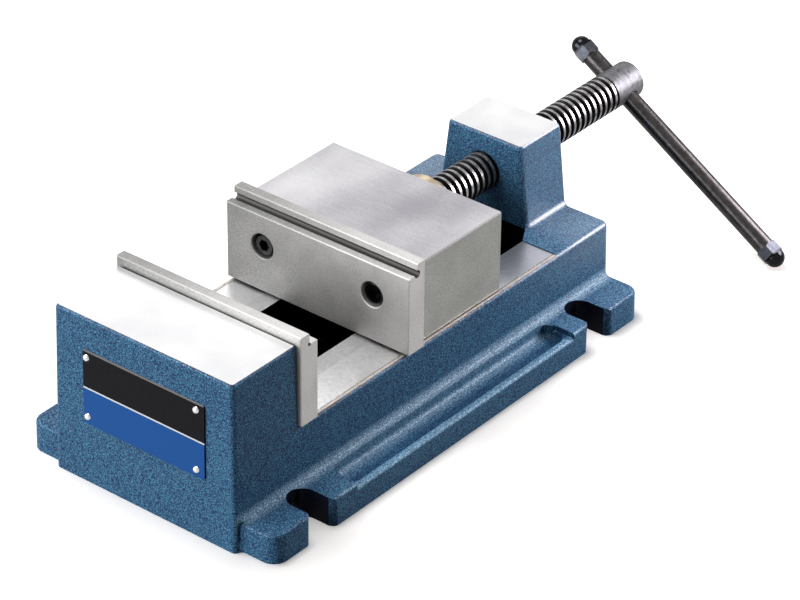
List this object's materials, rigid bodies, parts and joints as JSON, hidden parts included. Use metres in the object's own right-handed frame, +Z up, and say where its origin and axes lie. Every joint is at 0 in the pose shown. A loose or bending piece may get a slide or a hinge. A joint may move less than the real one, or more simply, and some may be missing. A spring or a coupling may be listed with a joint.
{
  "type": "drill press vise",
  "caption": "Drill press vise: cast base with open bolt slots, jaw sliding on flat rails, stepped plates, lead screw and bar handle.",
  "frame": {"origin": "the middle of the base's underside, on the table it stands on", "axes": "X across the jaws, Y along the screw with the fixed jaw at -Y and the handle at +Y, Z up"},
  "size_m": [0.1668, 0.3408, 0.0853],
  "materials": {
    "blue_paint": "hammered blue paint, tops milled bare",
    "ground_steel": "ground",
    "machined_iron": "milled",
    "nameplate_print": "printed, black over blue, blank",
    "brass": "turned",
    "hard_steel": "hardened, plain",
    "screw_steel": "turned",
    "black_bar": "blackened, satin",
    "black_nut": "blackened, bright",
    "black_screw": "black oxide",
    "bright_rivet": "polished"
  },
  "bodies": {
    "base": {"base_casting": "blue_paint", "fixed_jaw_plate": "ground_steel", "fixed_jaw_screw_left": "black_screw", "fixed_jaw_screw_right": "black_screw", "nameplate": "nameplate_print", "nameplate_rivet_1": "bright_rivet", "nameplate_rivet_2": "bright_rivet", "nameplate_rivet_3": "bright_rivet", "nameplate_rivet_4": "bright_rivet"},
    "moving_jaw": {"moving_jaw_block": "machined_iron", "moving_jaw_plate": "ground_steel", "moving_jaw_screw_left": "black_screw", "moving_jaw_screw_right": "black_screw", "keep_plate": "machined_iron", "thrust_bush": "brass", "thrust_pad": "hard_steel", "retaining_pin_left": "hard_steel", "retaining_pin_right": "hard_steel", "keep_plate_screw_1": "black_screw", "keep_plate_screw_2": "black_screw", "keep_plate_screw_3": "black_screw", "keep_plate_screw_4": "black_screw", "keep_plate_washer_1": "hard_steel", "keep_plate_washer_2": "hard_steel", "keep_plate_washer_3": "hard_steel", "keep_plate_washer_4": "hard_steel"},
    "lead_screw": {"lead_screw": "screw_steel"},
    "handle": {"handle_bar": "black_bar", "upper_cap_nut": "black_nut", "lower_cap_nut": "black_nut"}
  },
  "joints": [
    {"name": "jaw_slide", "type": "slide", "parent": "base", "child": "moving_jaw", "axis": [0, 1, 0], "range_m": [-0.0595, 0.038]},
    {"name": "screw_turn", "type": "hinge", "parent": "moving_jaw", "child": "lead_screw", "pos_m": [0, 0.128, 0.0629], "axis": [0, 1, 0], "range_deg": [-5350, 3415]},
    {"name": "bar_slide", "type": "slide", "parent": "lead_screw", "child": "handle", "axis": [0.849, 0, -0.5284], "range_m": [-0.093, 0.0095]}
  ],
  "couplings": [
    {"joint": "jaw_slide", "follows": "screw_turn", "m_per_rad": 0.00063662}
  ]
}
